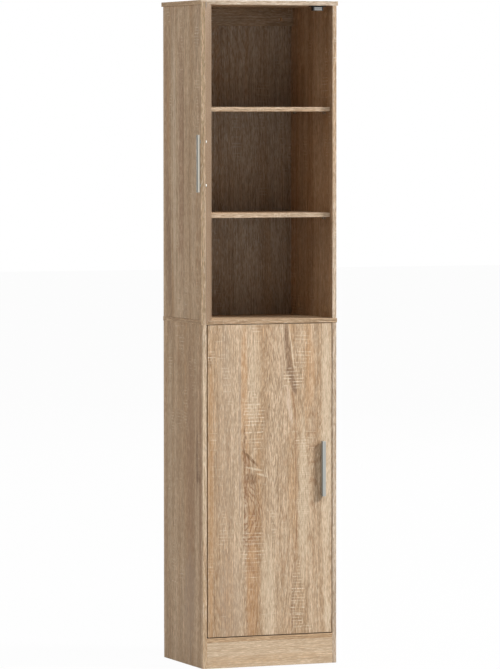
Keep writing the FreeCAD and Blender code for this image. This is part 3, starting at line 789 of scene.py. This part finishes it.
def plain(name, first, second, rough, density):
    """Moulded plastic or turned wood: two near tones in fine mottling."""
    material, tree, shader = new_finish(name)
    place = put(tree, "TexCoord").outputs["Object"]
    grain = share(tree, mottle(tree, place, density, 3.0), 0.35, 0.65)
    feed(tree, shader, {"Base Color": tinted(tree, grain, first, second),
                        "Roughness": share(tree, grain, 0, 1, rough - 0.05, rough + 0.07),
                        "Normal": dents(tree, grain, 0.2, 0.0001)})
    return material


moulded = (300, 300, 300)
black = plain("black_plastic", colour(26, 26, 27), colour(38, 38, 39), rough=0.45,
              density=(500, 500, 500))
acetal = plain("brown_acetal", colour(96, 74, 54), colour(110, 86, 64), rough=0.40,
               density=moulded)
cap_brown = plain("cap_plastic", colour(176, 146, 112), colour(190, 160, 126), rough=0.50,
                  density=moulded)
beech = plain("turned_beech", colour(196, 160, 120), colour(214, 182, 142), rough=0.65,
              density=(400, 400, 60))
ferrite = metal("ground_ferrite", colour(150, 150, 150), rough=0.40, brushed=moulded,
                streak=0.15)
clear = plain("clear_plastic", colour(232, 232, 226), colour(244, 244, 240), rough=0.18,
              density=(200, 200, 200))
feed(clear.node_tree, clear.node_tree.nodes["Principled BSDF"],
     {"Transmission Weight": 0.9, "IOR": 1.49})
finishes = {"plated_steel": steel, "zinc_alloy": zinc, "black_plastic": black,
            "clear_plastic": clear, "bush_plastic": acetal, "cap_plastic": cap_brown,
            "beech": beech, "magnet_ferrite": ferrite, "handle_metal": nickel}
for part in frame["record"]["subparts"]:
    if part["material_slot"] in finishes and not part["node"].endswith("strike_plate"):
        for used in frame["nodes"][part["node"]].material_slots:
            used.material = finishes[part["material_slot"]]


# ---- Floor and light ----
# A plain white floor, four large soft lamps, the strongest at the right and in
# front, and an even pale surrounding that shows as white behind the cabinet.
def looked_at(tree):
    """1 for what the camera sees straight, in a reflection or through clear plastic."""
    path = put(tree, "LightPath").outputs
    seen = maths(tree, "MAXIMUM", path["Is Camera Ray"], path["Is Glossy Ray"])
    return maths(tree, "MAXIMUM", seen, path["Is Transmission Ray"])


def make_floor():
    """A matt grey floor that is seen as nearly white and keeps a faint shadow."""
    half_width, drop, whiteness = 30, 0.0002, 0.97
    work = bmesh.new()
    bmesh.ops.create_grid(work, x_segments=1, y_segments=1, size=half_width)
    bmesh.ops.translate(work, vec=(0, 0, cad_low.z - drop), verts=work.verts)
    mesh = bpy.data.meshes.new("studio_floor")
    work.to_mesh(mesh)
    work.free()
    material, tree, shader = new_finish("studio_floor")
    feed(tree, shader, {"Base Color": (0.60, 0.60, 0.60, 1), "Roughness": 0.9,
                        "Specular IOR Level": 0.1})
    white = put(tree, "Emission", {"Color": (1, 1, 1, 1), "Strength": 1.0})
    seen = maths(tree, "MULTIPLY", looked_at(tree), whiteness)
    both = put(tree, "MixShader", {0: seen, 1: shader, 2: white})
    feed(tree, tree.nodes["Material Output"], {"Surface": both})
    mesh.materials.append(material)
    floor = bpy.data.objects.new("studio_floor", mesh)
    bpy.context.scene.collection.objects.link(floor)
    floor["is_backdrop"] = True


def make_surrounding(level):
    """Even light of the given level, seen as white directly and in reflections."""
    world = bpy.data.worlds.new("studio")
    bpy.context.scene.world = world
    world.use_nodes = True
    tree = world.node_tree
    strength = share(tree, looked_at(tree), 0, 1, level, 1.0)
    feed(tree, tree.nodes["Background"], {"Color": (1, 1, 1, 1), "Strength": strength})


def lamp(name, place, size, watts):
    """A square soft lamp, aimed at the middle of the cabinet."""
    light = bpy.data.lights.new(name, "AREA")
    light.shape, light.size, light.energy = "SQUARE", size, watts
    holder = bpy.data.objects.new(name, light)
    holder.location = place
    towards = Vector((0, 0, (cad_low.z + cad_high.z) / 2)) - Vector(place)
    holder.rotation_euler = towards.to_track_quat("-Z", "Y").to_euler()
    bpy.context.scene.collection.objects.link(holder)


make_floor()
make_surrounding(level=0.165)
lamp("key_lamp", (6.5, -3.7, 5.9), size=2.0, watts=1035)
lamp("front_lamp", (-0.4, -4.6, 8.6), size=2.4, watts=260)
lamp("rear_lamp", (5.0, 7.0, 5.0), size=2.4, watts=280)
lamp("left_lamp", (-8.6, 1.0, 2.9), size=3.0, watts=206)


# ---- Camera ----
# The photograph's viewpoint: about 12 m away, in front and to the left, at
# standing height and looking slightly down through a long lens.
camera_data = bpy.data.cameras.new("camera")
camera_data.lens, camera_data.sensor_width = 239.95, 36.0
camera = bpy.data.objects.new("camera", camera_data)
camera.location = (-4.5554, -11.1477, 1.4798)
look_down, roll, bearing = 0.048156, 0.000488, -0.383675
camera.rotation_euler = (math.pi / 2 - look_down, roll, bearing)
bpy.context.scene.collection.objects.link(camera)
bpy.context.scene.camera = camera
bpy.context.scene.view_settings.view_transform = "Standard"

low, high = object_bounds()
